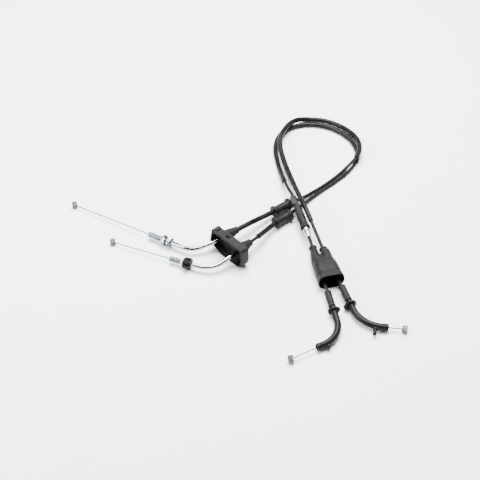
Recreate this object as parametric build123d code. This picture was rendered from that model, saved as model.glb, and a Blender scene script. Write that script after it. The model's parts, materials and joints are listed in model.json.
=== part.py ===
from build123d import *
import os
from math import cos, pi, radians, sin, tan

# Two motorcycle throttle cables, one pulling and one returning, laid out in one loop on a flat
# surface. Millimetres, +Z up. The origin is the centre of the set's footprint on that surface.
# Each moulding, each turned part and each length of wire is a node of its own.

os.makedirs("parts", exist_ok=True)

# ---------------------------------------------------------------- driving dimensions
WIRE_R = 0.75            # stranded steel inner wire
LINER_OUTER_R = 1.45     # slippery plastic liner inside each casing
LINER_INNER_R = 0.90
CASING_R = 2.5           # black sheathed spiral casing
CASING_BORE_R = 1.5
SLEEVE_R = 3.8           # loose protective sleeves over the casing
SLEEVE_BORE_R = 2.6
TUBE_R = 3.25            # chromed guide tubes at the engine end
TUBE_BORE_R = 2.25
THREAD_R = 4.0           # M8 threaded ends of the guide tubes
RUNNING_GAP = 0.05       # radial clearance of a nut on its thread, a neck in its ferrule

NUT_FLATS = 13.0
NUT_HEIGHT = 5.0
NIPPLE_R = 3.9           # cast barrel nipples
NIPPLE_LENGTH = 9.0
NIPPLE_HOLE_R = 0.78

SPOOL_BODY_R = 6.4       # flanged rubber spools that a frame clip holds
SPOOL_FLANGE_R = 8.6
SPOOL_FLANGE = 4.0

ELBOW_R = 4.75           # moulded elbows that turn the wires onto the throttle drum
ELBOW_BORE_R = 3.2
ELBOW_NECK_R = 4.0
ELBOW_FLANGE_R = 8.3
FERRULE_R = 5.0
FERRULE_LENGTH = 26.0

# ---------------------------------------------------------------- where the cables lie
# Engine ends: a straight line from the nipple's centre through the threaded end.
RETURN_NIPPLE = Vector(-230, 45, 4.6)
RETURN_BEND = Vector(-55, -54, 9.4)
PULL_NIPPLE = Vector(-168, -32, 4.6)
PULL_BEND = Vector(-41, -85.9, 9.3)

# Guide tubes, from the first bend to the end that holds the casing, inside the hood's sleeve.
RETURN_TUBE = [RETURN_BEND, Vector(-22, -42, 15.5), Vector(-0.6, -27.3, 17.5)]
PULL_TUBE = [PULL_BEND, Vector(-21, -88, 11.5), Vector(-3, -74.5, 16), Vector(19.3, -54.6, 18.8)]
RETURN_TUBE_RADII = [32, 60]
PULL_TUBE_RADII = [40, 28, 80]

# Casing of the return cable, from its guide tube round the loop to the ferrule at the grip.
RETURN_ROUTE = [
    (-0.6, -27.3, 17.5), (19, -13.8, 19.3), (37.5, 5, 13.5), (63, 27, 9), (84, 43.5, 8.5),
    (101.5, 57, 5.5), (118.5, 72.5, 2.6), (141, 92, 2.5), (162, 113.5, 2.5), (173, 126, 4.2),
    (182, 133.5, 8.8), (190.5, 143, 12.6), (196, 155, 13.2), (198, 170.5, 12.8),
    (196.5, 187, 10.5), (190.5, 205, 7), (179.5, 222, 4.2), (163.5, 235.5, 3.8),
    (144, 244, 3.8), (122.5, 246, 3.8), (104.5, 239.5, 9), (90.5, 223.5, 13.4), (81, 206, 13.4),
    (76, 191.5, 12.8), (74.5, 177, 11), (76.5, 160, 9), (80, 142, 8), (85, 118, 9),
    (90.5, 92.5, 12.5), (96, 64, 18), (101, 44, 20.5), (108.5, 21.5, 19.7),
    (115.5, -3, 16.5), (123, -30, 14.3), (129.5, -54.5, 13), (137.6, -81.8, 12.1),
    (147, -109.6, 10.9), (155.6, -135.8, 9.9),
]
# Casing of the pull cable, from its guide tube round the loop to the in-line adjuster.
PULL_ROUTE = [
    (19.3, -54.6, 18.8), (33, -42.4, 20.5), (48.5, -19, 13.5), (64.5, 3.5, 9), (84.5, 19.5, 8.7),
    (99.5, 39, 6), (113.5, 56.5, 3), (135.5, 79, 2.5), (157.5, 99, 2.5), (173.5, 115.5, 2.5),
    (186.5, 134, 3), (193.5, 150, 3.8), (194.5, 165.5, 3.8), (192, 181, 3.8), (184.5, 198, 3.8),
    (172, 213, 3.8), (157, 224, 3.8), (140, 231, 3.8), (121, 233.5, 3.8), (103, 230, 3.8),
    (88, 221.5, 3.8), (76, 208, 3.8), (69.5, 191, 3.8), (67.5, 169.5, 3.8), (69.5, 147, 3.8),
    (73.5, 121, 6), (78.5, 93, 11), (84.5, 66, 17.5), (90.3, 48.5, 20.7), (93.9, 33.9, 19.7),
]
# The in-line adjuster's straight axis, and the short casing from it to the ferrule at the grip.
ADJUSTER_START = Vector(91, 45.5, 20.5)
ADJUSTER_END = Vector(110.6, -32.5, 15)
PULL_GRIP_ROUTE = [
    (109.3, -27.5, 15.4), (114.3, -47.4, 14), (119.6, -77, 12.3), (127.3, -112, 10.9),
    (134.2, -146.2, 9.6),
]
# Grip ends: the ferrule's axis, the corner of the elbow, and the nipple that it points at.
RETURN_FERRULE = Vector(151.5, -123, 10.4)
RETURN_ELBOW_CORNER = Vector(172.7, -188.9, 7.6)
RETURN_GRIP_NIPPLE = Vector(230.3, -194.9, 5.4)
PULL_FERRULE = Vector(131.6, -133, 10.1)
PULL_ELBOW_CORNER = Vector(146.6, -208.5, 7.2)
PULL_GRIP_NIPPLE = Vector(78.2, -245.8, 5.9)
ELBOW_RADIUS = {"return": 42, "pull": 37}
ELBOW_TIP = {"return": 36.5, "pull": 38.5}      # from the corner to the open tip

# Distances along each engine-end axis, from the nipple's centre.
RETURN_THREAD = (130.0, 169.0)
PULL_THREAD = (90.0, 108.0)
OUTER_NUT_AT = 153.5
INNER_NUT_AT = 162.5
WASHER_AT = (108.0, 111.0)
RETAINER_AT = (111.0, 122.5)

# Straight length of wire hidden in each tube or elbow, enough to cover its travel.
HIDDEN_ENGINE = {"return": 25.0, "pull": 12.0}
HIDDEN_GRIP = {"return": 9.5, "pull": 21.5}


# ---------------------------------------------------------------- helpers
def write(node, solid):
    """Write one sub-part to its own file."""
    export_step(solid, f"parts/{node}.step")


def line_plane(start, towards):
    """A plane at start whose normal points at another point: the bench for turned parts."""
    return Plane(origin=start, z_dir=towards - start)


def turned(outline):
    """Revolve an outline of (radius, height) points about Z."""
    face = make_face(Polyline(*[(r, 0, z) for r, z in outline], close=True))
    return revolve(face, Axis.Z, 360)


def pipe(outer_r, inner_r, low, high):
    """A straight round sleeve between two heights on Z."""
    return turned([(inner_r, low), (outer_r, low), (outer_r, high), (inner_r, high)])


def rod(radius, low, high):
    return Pos(0, 0, (low + high) / 2) * Cylinder(radius, high - low)


def cable_path(name, points):
    """Straight runs joined by tangent arcs, each as large as its two runs allow."""
    corners = [Vector(*point) for point in points]
    radii = []
    for before, corner, after in zip(corners, corners[1:], corners[2:]):
        arriving, leaving = corner - before, after - corner
        half_turn = radians(arriving.get_angle(leaving) / 2)
        radii.append(0.45 * min(arriving.length, leaving.length) / tan(half_turn))
    path = FilletPolyline(*corners, radius=radii)
    print(f"{name}: {path.length:.1f} mm long, smallest radius {min(radii):.1f} mm")
    return path


def swept(path, outer_r, inner_r=0.0):
    """A tube, or a solid rod, that follows a path."""
    section = Circle(outer_r)
    if inner_r:
        section -= Circle(inner_r)
    tube = sweep(Plane(origin=path @ 0, z_dir=path % 0) * section, path=path)
    return tube


def stretch(path, start, end):
    """The part of a path between two distances along it."""
    return path.trim(start / path.length, end / path.length)


def distance_along(path, point):
    """How far along a path its nearest place to a point is."""
    nearest = path.distance_to_with_closest_points(point)[1]
    return path.param_at_point(nearest) * path.length


# ---------------------------------------------------------------- paths
return_path = cable_path("return casing", RETURN_ROUTE)
pull_path = cable_path("pull casing to the adjuster", PULL_ROUTE)
pull_grip_path = cable_path("pull casing to the grip", PULL_GRIP_ROUTE)

engine_bench = {
    "return": line_plane(RETURN_NIPPLE, RETURN_BEND),
    "pull": line_plane(PULL_NIPPLE, PULL_BEND),
}
grip_bench = {
    "return": line_plane(RETURN_GRIP_NIPPLE, RETURN_ELBOW_CORNER),
    "pull": line_plane(PULL_GRIP_NIPPLE, PULL_ELBOW_CORNER),
}
ferrule_bench = {
    "return": line_plane(RETURN_FERRULE, RETURN_ELBOW_CORNER),
    "pull": line_plane(PULL_FERRULE, PULL_ELBOW_CORNER),
}
thread_span = {"return": RETURN_THREAD, "pull": PULL_THREAD}
THREAD_LIP = 2.0                          # end wall of the threaded collar
THREAD_MOUTH_R = 1.6                      # hole in it that the wire runs through
RELIEF_AT = (151.4, 153.2)
RELIEF_R = 3.5


# ---------------------------------------------------------------- casings, liners and wires
def casing(node, path):
    solid = swept(path, CASING_R, CASING_BORE_R)
    ideal = pi * (CASING_R**2 - CASING_BORE_R**2) * path.length
    print(f"{node}: volume over section times length {solid.volume / ideal:.4f}")
    write(node, solid)


for length, path in (("return", return_path), ("pull", pull_path), ("pull_grip", pull_grip_path)):
    casing(f"casing_{length}", path)
    write(f"liner_{length}", swept(path, LINER_OUTER_R, LINER_INNER_R))
    write(f"inner_wire_{length}", swept(path, WIRE_R))


# ---------------------------------------------------------------- engine ends
def guide_tube(name, corners, radii):
    """Chromed steel tube, bent towards the hood, with its straight end inside the thread."""
    bench = engine_bench[name]
    start = bench.origin + bench.z_dir * (thread_span[name][0] + THREAD_LIP)
    path = FilletPolyline(start, *corners, radius=radii)
    write(f"guide_tube_{name}", swept(path, TUBE_R, TUBE_BORE_R))
    return path


def threaded_end(name):
    """Threaded collar swaged on the straight end of the guide tube."""
    low, high = thread_span[name]
    groove = []
    if name == "return":                  # a relief parts the free thread from the nuts' thread
        start, end = RELIEF_AT
        groove = [(THREAD_R, start), (RELIEF_R, start), (RELIEF_R, end), (THREAD_R, end)]
    outline = [(THREAD_MOUTH_R, low), (THREAD_R - 0.5, low), (THREAD_R, low + 0.5), *groove,
               (THREAD_R, high - 0.6), (TUBE_R + 0.2, high), (TUBE_R, high),
               (TUBE_R, low + THREAD_LIP), (THREAD_MOUTH_R, low + THREAD_LIP)]
    write(f"threaded_end_{name}", engine_bench[name] * turned(outline))


def hex_nut(flats, height, bore_r):
    """A chamfered hexagon nut with its lower face on the bench."""
    body = extrude(RegularPolygon(flats / 2, 6, major_radius=False), height)
    corner = flats / 2 / cos(radians(30))
    chamfer = turned([(0, 0), (flats / 2 + 0.1, 0), (corner, 0.6), (corner, height - 0.6),
                      (flats / 2 + 0.1, height), (0, height)])
    return (body & chamfer) - rod(bore_r, -1, height + 1)


def wire_end(node, bench, lean, hidden_to):
    """A stretch of bare wire and the nipple cast on its end, as two solids."""
    buried = 0.8 - NIPPLE_R               # the wire stops just short of the far side
    wire = bench * rod(WIRE_R, buried, hidden_to)
    upright = Vector(0, 0, 1) + lean
    across = (upright - bench.z_dir * upright.dot(bench.z_dir)).normalized()
    cylinder = fillet(Cylinder(NIPPLE_R, NIPPLE_LENGTH).edges(), 0.5)
    barrel = Plane(origin=bench.origin, z_dir=across) * cylinder
    barrel -= bench * rod(NIPPLE_HOLE_R, buried, NIPPLE_R + 5)
    write(f"wire_{node}", wire)
    write(f"nipple_{node}", barrel)


return_tube_path = guide_tube("return", RETURN_TUBE, RETURN_TUBE_RADII)
pull_tube_path = guide_tube("pull", PULL_TUBE, PULL_TUBE_RADII)
for cable in ("return", "pull"):
    threaded_end(cable)
    wire_end(f"engine_{cable}", engine_bench[cable], Vector(0, 0, 0),
             thread_span[cable][0] + HIDDEN_ENGINE[cable])

lock_nut = hex_nut(NUT_FLATS, NUT_HEIGHT, THREAD_R + RUNNING_GAP)
write("lock_nut_outer", engine_bench["return"] * Pos(0, 0, OUTER_NUT_AT) * Rot(0, 0, 11) * lock_nut)
write("lock_nut_inner", engine_bench["return"] * Pos(0, 0, INNER_NUT_AT) * Rot(0, 0, 38) * lock_nut)
write("seal_washer", engine_bench["pull"] * pipe(4.6, TUBE_R, *WASHER_AT))


def retainer_nut():
    """Moulded nut with a domed face and a castellated skirt, free to turn on its tube."""
    low, high = RETAINER_AT
    bore = TUBE_R + RUNNING_GAP
    body = turned([(bore, low), (5.6, low), (7.8, low + 1.2), (8.3, low + 2.8), (8.3, low + 5.0),
                   (7.0, low + 6.2), (6.4, low + 6.6), (6.4, high), (bore, high)])
    for angle in range(0, 360, 60):
        prong = Pos(7.2, 0, high - 3.4) * Box(2.4, 3.6, 5.6)
        body += Rot(0, 0, angle) * prong
    return body


write("retainer_nut", engine_bench["pull"] * retainer_nut())


# ---------------------------------------------------------------- hood over the throttle body
HOOD_HEADING = 44.0                       # the way the cables leave it, seen from above
HOOD_MIDDLE = Vector(-7.4, -60, 0)       # middle of the mouth, on the ground
HOOD_LENGTH = 66.0
HOOD_HEIGHT = 36.5
HOOD_DEPTH = 14.0
HOOD_WALL = 2.4
BELL_R = 8.0
BELL_END_R = 4.7
CRIMP_R = 4.1             # steel crimps inside the bells
CRIMP_ON_TUBE = 9.0
CRIMP_ON_CASING = 9.0
RUBBER_GAP = 0.1          # between a rubber piece and what it is pushed over

hood_plane = Plane(origin=HOOD_MIDDLE,
                   x_dir=(cos(radians(HOOD_HEADING - 90)), sin(radians(HOOD_HEADING - 90)), 0),
                   z_dir=(-cos(radians(HOOD_HEADING)), -sin(radians(HOOD_HEADING)), 0))


def hood_outline(inset):
    """D-shaped outline: straight top, upright ends and a bellied lower edge."""
    half = HOOD_LENGTH / 2 - inset
    top = HOOD_HEIGHT - inset
    low = inset
    left = -half + 1.5
    wire = Polyline((half, top), (-half + 4, top), (left - 1, 13 + inset / 2))
    belly = ThreePointArc((left - 1, 13 + inset / 2), (-14, 2.6 + low), (0, low))
    lip = Line((0, low), (22, 2.6 + low))
    nose = ThreePointArc((22, 2.6 + low), (half - 4.5, 8 + low), (half, 17 + low))
    close = Line((half, 17 + low), (half, top))
    return make_face(Wire([*wire.edges(), *belly.edges(), *lip.edges(), *nose.edges(),
                           *close.edges()]))


def bell(path, tube_end):
    """Tapered sleeve from the hood's back wall along a tube, as a solid cone."""
    direction = (path % 1).normalized()
    bench = Plane(origin=tube_end - direction * 20, z_dir=direction)
    outline = [(0, 0), (BELL_R + 0.6, 0), (BELL_R + 0.6, 7), (BELL_R - 0.6, 14), (6.3, 22),
               (BELL_END_R + 0.4, 29), (BELL_END_R + 0.4, 32), (0, 32)]
    return bench * turned(outline)


def hood():
    back = hood_plane * Pos(0, 0, -HOOD_DEPTH)
    shell = back * extrude(hood_outline(0), HOOD_DEPTH)
    shell += bell(return_tube_path, RETURN_TUBE[-1])
    shell += bell(pull_tube_path, PULL_TUBE[-1])
    shell -= back * Pos(0, 0, HOOD_WALL + 0.6) * extrude(hood_outline(HOOD_WALL), HOOD_DEPTH)
    slot = hood_plane * Pos(-2, HOOD_HEIGHT, -HOOD_DEPTH / 2 - 0.5) * Box(7, 3 * HOOD_WALL, 5)
    shell -= slot
    for tube_path, casing_path in ((return_tube_path, return_path), (pull_tube_path, pull_path)):
        tube_end = stretch(tube_path, tube_path.length - 45, tube_path.length)
        crimped = stretch(casing_path, 0, CRIMP_ON_CASING + 0.3)
        shell -= swept(tube_end, CRIMP_R + RUBBER_GAP)
        shell -= swept(crimped, CRIMP_R + RUBBER_GAP)
        shell -= swept(stretch(casing_path, 0, 20), CASING_R + RUBBER_GAP)
    return shell


def crimp(name, tube_path, casing_path):
    """Steel crimp that joins the guide tube's end to the casing, hidden in the hood's sleeve."""
    tube_end = stretch(tube_path, tube_path.length - CRIMP_ON_TUBE, tube_path.length)
    on_tube = swept(tube_end, CRIMP_R, TUBE_R + 0.02)
    on_casing = swept(stretch(casing_path, 0, CRIMP_ON_CASING), CRIMP_R, CASING_R)
    write(f"tube_crimp_{name}", on_tube + on_casing)


crimp("return", return_tube_path, return_path)
crimp("pull", pull_tube_path, pull_path)
write("throttle_body_hood", hood())


# ---------------------------------------------------------------- sleeves and spools
def sleeve(node, path, start, end, outer_r=SLEEVE_R):
    write(node, swept(stretch(path, start, end), outer_r, SLEEVE_BORE_R))


def spool(name, path, left, right):
    """Flanged rubber spool, centred on the straight line between its two ends."""
    left, right = Vector(*left), Vector(*right)
    length = (right - left).length + SPOOL_FLANGE
    bench = line_plane(left - (right - left).normalized() * SPOOL_FLANGE / 2, right)
    body = turned([(0, 0), (SPOOL_FLANGE_R, 0), (SPOOL_FLANGE_R, SPOOL_FLANGE),
                   (SPOOL_BODY_R, SPOOL_FLANGE + 1.2),
                   (SPOOL_BODY_R, length - SPOOL_FLANGE - 1.2),
                   (SPOOL_FLANGE_R, length - SPOOL_FLANGE), (SPOOL_FLANGE_R, length), (0, length)])
    near = distance_along(path, left)
    bore = swept(stretch(path, near - 14, near + length + 14), CASING_R + RUBBER_GAP)
    write(f"guide_spool_{name}", bench * body - bore)
    return near


return_spool = spool("return", return_path, RETURN_ROUTE[3], RETURN_ROUTE[4])
pull_spool = spool("pull", pull_path, PULL_ROUTE[3], PULL_ROUTE[4])
sleeve("engine_sleeve_return", return_path, 12.5, return_spool - 3)
sleeve("engine_sleeve_pull", pull_path, 28, pull_spool - 3)
print(f"spools at {return_spool:.0f} and {pull_spool:.0f} mm along the casings")

loop_return = (distance_along(return_path, Vector(191, 143, 11.6)),
               distance_along(return_path, Vector(99, 49.5, 20)))
loop_pull = (distance_along(pull_path, Vector(191, 143, 3.4)),
             distance_along(pull_path, Vector(79.5, 88, 12)))
grip_return = (loop_return[1] + 0.4, distance_along(return_path, Vector(114.2, -0.5, 16.8)))
sleeve("loop_sleeve_return", return_path, *loop_return)
sleeve("loop_sleeve_pull", pull_path, *loop_pull)
sleeve("grip_sleeve_return", return_path, *grip_return, outer_r=SLEEVE_R - 0.1)
print("loop sleeves", [round(v) for v in (*loop_return, *loop_pull, *grip_return)])

# ---------------------------------------------------------------- in-line adjuster
adjuster = line_plane(ADJUSTER_START, ADJUSTER_END)
STEM_R = 3.0
BARREL_R = 4.3
CASING_STOP = 12.0        # where the loop casing ends inside the cap
BARREL_AT = (41.0, 80.0)
GRIP_CASING_START = 75.0

write("adjuster_cap", adjuster * turned([
    (CASING_R + 0.15, 0), (3.9, 0), (4.25, 0.8), (4.25, 18), (STEM_R + 0.02, 18), (STEM_R + 0.02, 12.6),
    (CASING_R + 0.15, 12.6)]))
write("adjuster_stem", adjuster * pipe(STEM_R, 1.2, 12.7, 52.0))
write("adjuster_lock_nut", adjuster * Pos(0, 0, 37) * hex_nut(7.2, 3.0, STEM_R + RUNNING_GAP))
write("adjuster_barrel", adjuster * turned([
    (STEM_R + RUNNING_GAP, 41), (BARREL_R, 41), (BARREL_R, 63.8), (1.2, 63.8), (1.2, 60),
    (STEM_R + RUNNING_GAP, 60)]))
write("adjuster_end_ferrule", adjuster * turned([
    (1.2, 64), (4.4, 64), (4.7, 64.6), (4.7, 68), (3.1, 80),
    (CASING_R + 0.15, 80), (CASING_R + 0.15, 75.2), (1.2, 75.2)]))
write("adjuster_boot", adjuster * turned([
    (4.5, 19), (5.1, 19), (5.4, 22), (6.0, 46), (6.1, 58), (6.9, 60.5), (7.0, 62.5), (6.6, 63.6),
    (5.3, 63.6), (5.1, 60), (5.0, 40), (4.6, 22)]))

# ---------------------------------------------------------------- boot over both grip ends
BOOT_START = Vector(122, -53.5, 13)
BOOT_END = Vector(138, -115.5, 12.9)
BOOT_LENGTH = (BOOT_END - BOOT_START).length
MOUTH = (37.0, 24.6)
BOOT_WALL = 2.0


def oval(width, height):
    """A flat-sided oval section."""
    return SlotOverall(width, height)


def neck(path, point):
    """Cone around one casing, with a rolled ring at its thin end."""
    place = distance_along(path, point)
    bench = Plane(origin=path @ (place / path.length), z_dir=path % (place / path.length))
    return bench * turned([(0, -1.5), (6.0, -1.5), (6.1, 1.2), (5.2, 2.2), (5.6, 6), (8.6, 26),
                           (8.6, 34), (0, 34)])


def grip_boot():
    bench = Plane(origin=BOOT_START, x_dir=(BOOT_END - BOOT_START).cross(Vector(0, 0, 1)),
                  z_dir=BOOT_END - BOOT_START)
    body = loft([bench * Pos(0, 0, 20) * oval(28, 14), bench * Pos(0, 0, 34) * oval(34, 21),
                 bench * Pos(0, 0, BOOT_LENGTH) * oval(*MOUTH)])
    cavity = loft([bench * Pos(0, 0, 36) * oval(27, 15),
                   bench * Pos(0, 0, BOOT_LENGTH + 0.01) * oval(MOUTH[0] - 2 * BOOT_WALL,
                                                                MOUTH[1] - 2 * BOOT_WALL)])
    body += neck(return_path, Vector(129.5, -54.5, 13))
    body += neck(pull_grip_path, Vector(114.4, -52.5, 13))
    body -= cavity
    for path in (return_path, pull_grip_path):
        near = distance_along(path, BOOT_START)
        body -= swept(stretch(path, near - 14, near + 60), CASING_R + RUBBER_GAP)
    return body


write("grip_boot", grip_boot())


# ---------------------------------------------------------------- ferrules and elbows
def ferrule(name):
    """Ribbed black ferrule: crimped on the casing, it holds the elbow's neck, which turns."""
    deep = FERRULE_LENGTH
    outline = [(CASING_R + 0.25, 0), (FERRULE_R, 0), (FERRULE_R, 3), (4.7, 3.4), (4.7, 6),
               (FERRULE_R, 6.4), (4.9, 20), (4.6, 21), (4.6, 23), (FERRULE_R, 23.4),
               (FERRULE_R, deep), (ELBOW_NECK_R - 0.9 + RUNNING_GAP, deep),
               (ELBOW_NECK_R - 0.9 + RUNNING_GAP, 14.5), (1.2, 14.5), (1.2, 13.8),
               (CASING_R + 0.25, 13.8)]
    write(f"grip_ferrule_{name}", ferrule_bench[name] * turned(outline))


ferrule("return")
ferrule("pull")


PEG_R = 2.3
PEG_ROOT_R = 2.9
PEG_ROOT = 6.4            # how far the thicker root reaches from the elbow's centre line


def elbow(name, corner, nipple_point, peg_at, peg_heading, peg_length):
    """Moulded elbow with its neck, flange and peg in one piece."""
    bench = ferrule_bench[name]
    axis = bench.z_dir
    neck_start = bench.origin + axis * 15
    flange_at = FERRULE_LENGTH + 5.5
    tip = corner + (nipple_point - corner).normalized() * ELBOW_TIP[name]
    curve = FilletPolyline(bench.origin + axis * (flange_at + 1), corner, tip,
                           radius=ELBOW_RADIUS[name])
    body = swept(curve, ELBOW_R)
    body += bench * rod(ELBOW_NECK_R - 0.9, 15, FERRULE_LENGTH + 1)
    body += bench * rod(ELBOW_NECK_R, FERRULE_LENGTH + 0.3, flange_at + 2)
    body += bench * rod(ELBOW_FLANGE_R, flange_at, flange_at + 3.6)
    body += Plane(origin=tip, z_dir=corner - tip) * rod(ELBOW_R + 0.35, 0, 6)
    start = curve @ peg_at
    heading = Vector(cos(radians(peg_heading)), sin(radians(peg_heading)), -0.06)
    peg = Plane(origin=start, z_dir=heading)
    body += peg * rod(PEG_R, 0, peg_length)
    body += peg * rod(PEG_ROOT_R, 0, PEG_ROOT)
    bore_end = curve.length - 2.2
    body -= swept(stretch(curve, 3, bore_end), ELBOW_BORE_R)
    body -= bench * rod(1.5, 10, flange_at + 8)
    body -= Plane(origin=tip, z_dir=corner - tip) * rod(1.5, -1, 6)
    print(f"{name} elbow: tip {tuple(round(v, 2) for v in tip)}, peg from "
          f"{tuple(round(v, 2) for v in start)} along {tuple(round(v, 4) for v in heading)}")
    return body, tip


elbow_return, return_tip = elbow("return", RETURN_ELBOW_CORNER, RETURN_GRIP_NIPPLE, 0.76, -106, 15.5)
elbow_pull, pull_tip = elbow("pull", PULL_ELBOW_CORNER, PULL_GRIP_NIPPLE, 0.80, -62, 8.6)
write("grip_elbow_return", elbow_return)
write("grip_elbow_pull", elbow_pull)
wire_end("grip_return", grip_bench["return"], Vector(-0.15, 0, 0),
         (return_tip - RETURN_GRIP_NIPPLE).length + HIDDEN_GRIP["return"])
wire_end("grip_pull", grip_bench["pull"], Vector(-0.17, 0.33, 0),
         (pull_tip - PULL_GRIP_NIPPLE).length + HIDDEN_GRIP["pull"])
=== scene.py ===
# %% [markdown]
# # Two throttle cables of a motorcycle
#
# One cable pulls the throttle open and the other pulls it shut. Each is a stranded wire that
# slides inside a black casing, with a barrel nipple at both ends. This lesson models the pair
# as it lies on a table: first the frame, the light and the finishes, then the cables as smooth
# curves, and then each fitting along them, from the engine end to the twist grip.
#
# The solid model of the same cables fixes every size and place. It is loaded first, and what
# is made here either dresses one of its nodes or stands in for it.

# %% Load the solid model and keep its box
import json
from math import cos, pi, radians, sin, tan

import bpy
from mathutils import Matrix, Vector

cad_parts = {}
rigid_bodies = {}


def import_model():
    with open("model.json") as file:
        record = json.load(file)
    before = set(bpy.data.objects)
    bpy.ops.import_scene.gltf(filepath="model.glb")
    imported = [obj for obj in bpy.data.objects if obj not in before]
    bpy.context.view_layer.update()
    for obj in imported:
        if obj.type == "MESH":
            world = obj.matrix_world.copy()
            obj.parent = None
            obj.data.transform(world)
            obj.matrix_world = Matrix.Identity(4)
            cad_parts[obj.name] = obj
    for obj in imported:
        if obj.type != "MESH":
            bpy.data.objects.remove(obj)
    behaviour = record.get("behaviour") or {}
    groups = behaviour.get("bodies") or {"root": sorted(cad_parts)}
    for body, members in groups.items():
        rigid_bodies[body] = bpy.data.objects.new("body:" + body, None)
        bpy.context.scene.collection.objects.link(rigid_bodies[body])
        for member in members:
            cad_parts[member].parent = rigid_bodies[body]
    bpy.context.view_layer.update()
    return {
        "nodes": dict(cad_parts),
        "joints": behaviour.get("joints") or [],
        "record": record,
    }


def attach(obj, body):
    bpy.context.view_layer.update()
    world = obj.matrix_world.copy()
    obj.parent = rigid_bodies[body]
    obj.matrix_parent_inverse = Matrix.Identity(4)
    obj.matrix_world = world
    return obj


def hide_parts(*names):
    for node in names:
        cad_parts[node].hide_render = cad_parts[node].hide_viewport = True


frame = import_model()
MM = 0.001
mounts = {mount["name"]: mount for mount in frame["record"]["mounts"]}
joints = {joint["name"]: joint for joint in frame["joints"]}
for plain in list(bpy.data.materials):
    bpy.data.materials.remove(plain)       # the finishes below take these names

# %% [markdown]
# ## A place to work
#
# Most fittings are straight and round, so each is made upright at the origin and then laid on
# its bench: a matrix whose Z axis is the line of the real piece. The benches come from the
# frame. A nipple's mount gives the line of its wire, and a turning joint gives the line of the
# ferrule or the adjuster that turns about it.

# %% Benches for the straight fittings
def bench(origin, along):
    """A matrix that lays a piece made along Z on an axis, with its Y side up."""
    z_axis = Vector(along).normalized()
    x_axis = Vector((0, 0, 1)).cross(z_axis).normalized()
    y_axis = z_axis.cross(x_axis)
    turn = Matrix((x_axis, y_axis, z_axis)).transposed()
    return Matrix.Translation(origin) @ turn.to_4x4()


def slid(place, distance):
    """The same bench, moved along its own Z by a distance in mm."""
    return place @ Matrix.Translation((0, 0, distance * MM))


def turned_about(place, degrees):
    """The same bench, turned about its own Z."""
    return place @ Matrix.Rotation(radians(degrees), 4, "Z")


def from_mount(name):
    """The bench that starts at a nipple and runs along its wire, into the cable."""
    return bench(mounts[name]["pos_m"], [-part for part in mounts[name]["axis"]])


SWIVEL_FROM_END = 20.0       # a swivel joint sits this far along its ferrule
TURN_FROM_CAP = 60.0         # and the adjuster's joint this far from its cap
engine_bench = {cable: from_mount(f"{cable}_engine_nipple") for cable in ("return", "pull")}
grip_bench = {cable: from_mount(f"{cable}_grip_nipple") for cable in ("return", "pull")}
ferrule_bench = {}
for cable in ("return", "pull"):
    swivel = joints[f"{cable}_elbow_swivel"]
    ferrule_bench[cable] = slid(bench(swivel["pos_m"], swivel["axis"]), -SWIVEL_FROM_END)
turn = joints["adjuster_barrel_turn"]
adjuster_bench = slid(bench(turn["pos_m"], turn["axis"]), -TURN_FROM_CAP)
print("benches:", len(engine_bench) + len(grip_bench) + len(ferrule_bench) + 1)

# %% [markdown]
# ## Camera, floor and light
#
# The cables are seen from the front and from above, at 45 degrees, with a long lens, so that
# near and far ends keep nearly the same scale. The floor is plain and pale. A wide soft light
# hangs overhead and a second one stands to the left, as two softboxes would: black rubber only
# shows its shape by the streaks that they leave on it.

# %% Camera, floor and lights
LOOK_AT = Vector((0.013, -0.023, 0.0))
CAMERA_DISTANCE = 1.6
ELEVATION = radians(45)
SENSOR = 36.0
LENS = 83.9

back_off = Vector((0, -cos(ELEVATION), sin(ELEVATION))) * CAMERA_DISTANCE
camera_data = bpy.data.cameras.new("camera")
camera_data.lens = LENS
camera_data.sensor_width = SENSOR
camera = bpy.data.objects.new("camera", camera_data)
bpy.context.scene.collection.objects.link(camera)
camera.location = LOOK_AT + back_off
camera.rotation_euler = (pi / 2 - ELEVATION, 0, 0)
bpy.context.scene.camera = camera


def softbox(name, place, aim, size, watts):
    """A square area light at a place, turned to face a point."""
    data = bpy.data.lights.new(name, "AREA")
    data.shape = "SQUARE"
    data.size = size
    data.energy = watts
    lamp = bpy.data.objects.new(name, data)
    bpy.context.scene.collection.objects.link(lamp)
    lamp.location = place
    lamp.rotation_euler = (Vector(place) - Vector(aim)).to_track_quat("Z", "Y").to_euler()
    return lamp


OVERHEAD_WATTS = 175
SIDE_WATTS = 45
ROOM_LIGHT = 0.25            # a dim room keeps dark streaks in the chrome
FLOOR_GAP = 0.0002           # the floor lies a hair below the table that the pieces rest on
softbox("overhead", (0.1, 0.5, 1.6), LOOK_AT, 1.2, OVERHEAD_WATTS)
softbox("left_side", (-1.3, -0.3, 1.0), LOOK_AT, 0.8, SIDE_WATTS)

world = bpy.data.worlds.new("white room")
world.use_nodes = True
world.node_tree.nodes["Background"].inputs["Color"].default_value = (1.0, 1.0, 1.0, 1)
world.node_tree.nodes["Background"].inputs["Strength"].default_value = ROOM_LIGHT
bpy.context.scene.world = world

bpy.ops.object.select_all(action="DESELECT")
bpy.ops.mesh.primitive_plane_add(size=8, location=(0, 0, -FLOOR_GAP))
floor = bpy.context.object
floor.name = "floor"
print("camera at", [round(part, 3) for part in camera.location])

# %% [markdown]
# ## Shader sums written as sums
#
# A finish is a small net of nodes. Writing each Math node by hand hides the idea, so one class
# wraps a node's output and lets Python's own signs build the sums: `1 - dust * 0.5` adds the
# nodes that it needs. Every other kind of node comes from the one method `node`, which takes
# the kind of node, its settings and the values or links of its sockets.

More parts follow.
